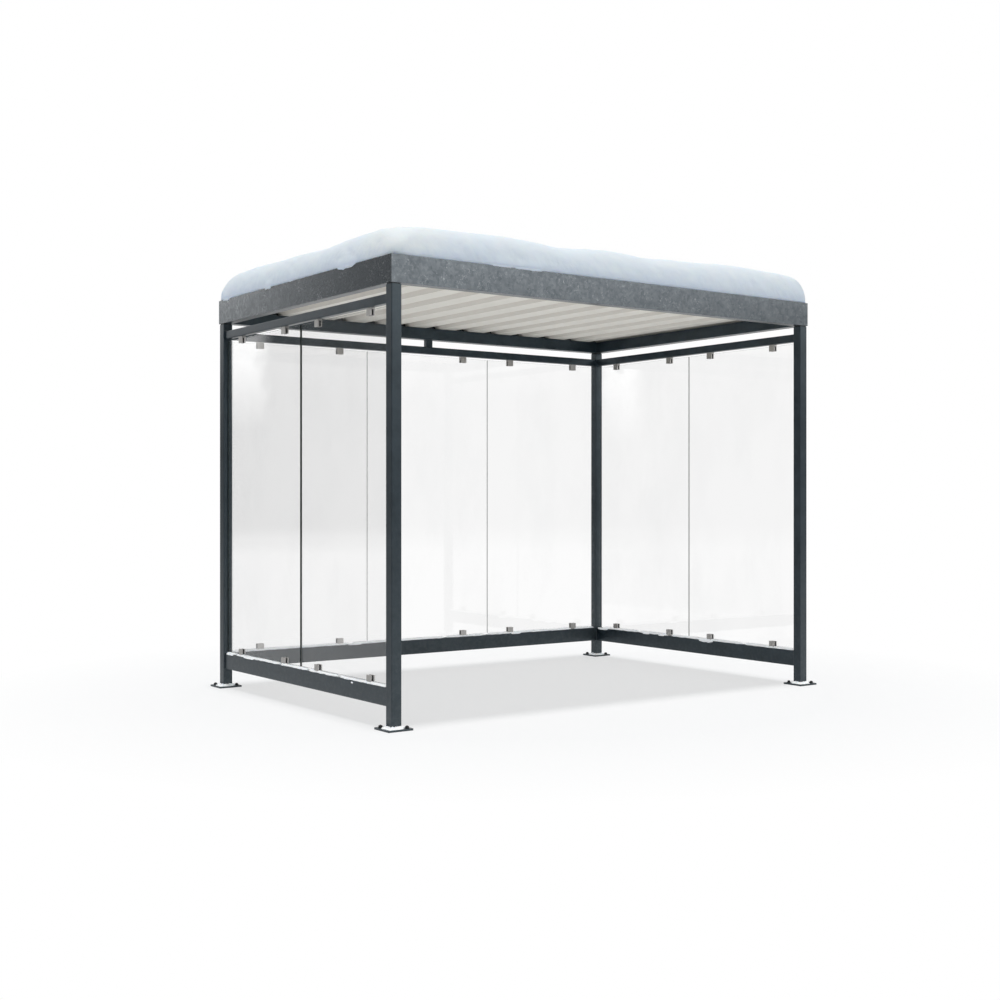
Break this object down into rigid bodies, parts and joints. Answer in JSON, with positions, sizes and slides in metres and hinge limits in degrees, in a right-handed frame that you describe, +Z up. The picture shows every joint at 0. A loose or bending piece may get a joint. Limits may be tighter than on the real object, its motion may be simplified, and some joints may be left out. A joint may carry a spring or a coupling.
{
  "type": "smoking shelter",
  "caption": "Three-sided glass-walled shelter with square steel posts, a flat ribbed-sheet roof behind a galvanised fascia and a layer of snow on top.",
  "frame": {"origin": "middle of the footprint, on the ground under the foot plates", "axes": "+X along the long back wall to the right seen from the open side, +Y to the back wall, +Z up"},
  "size_m": [3.21, 2.21, 2.665],
  "materials": {
    "frame_paint": "anthracite powder coat, satin",
    "foot_paint": "anthracite powder coat, dusty",
    "dark_steel": "black, in shadow",
    "galvanised_fascia": "dull galvanised sheet with a soft spangle",
    "roof_sheet": "pale grey coated sheet",
    "glass": "clear toughened glass",
    "stainless": "brushed stainless steel",
    "rubber": "black rubber",
    "snow": "settled snow"
  },
  "bodies": {
    "root": {"foot_plate_front_left": "foot_paint", "foot_plate_front_right": "foot_paint", "foot_plate_back_left": "foot_paint", "foot_plate_back_right": "foot_paint", "post_front_left": "frame_paint", "post_front_right": "frame_paint", "post_back_left": "frame_paint", "post_back_right": "frame_paint", "post_heads": "dark_steel", "bottom_rail_left": "frame_paint", "bottom_rail_back": "frame_paint", "bottom_rail_right": "frame_paint", "top_rail_left": "frame_paint", "top_rail_back": "frame_paint", "top_rail_right": "frame_paint", "strut_back": "frame_paint", "roof_beam_front": "frame_paint", "roof_beam_back": "frame_paint", "roof_beam_left": "frame_paint", "roof_beam_right": "frame_paint", "fascia_front": "galvanised_fascia", "fascia_back": "galvanised_fascia", "fascia_left": "galvanised_fascia", "fascia_right": "galvanised_fascia", "roof_sheet_left": "roof_sheet", "roof_sheet_middle": "roof_sheet", "roof_sheet_right": "roof_sheet", "glass_left_front": "glass", "glass_left_rear": "glass", "glass_back_left": "glass", "glass_back_middle": "glass", "glass_back_right": "glass", "glass_right_front": "glass", "glass_right_rear": "glass", "clamp_bodies_left": "stainless", "clamp_bodies_back": "stainless", "clamp_bodies_right": "stainless", "clamp_covers_left": "stainless", "clamp_covers_back": "stainless", "clamp_covers_right": "stainless", "clamp_rubbers_left": "rubber", "clamp_rubbers_back": "rubber", "clamp_rubbers_right": "rubber", "roof_snow": "snow"}
  },
  "joints": []
}
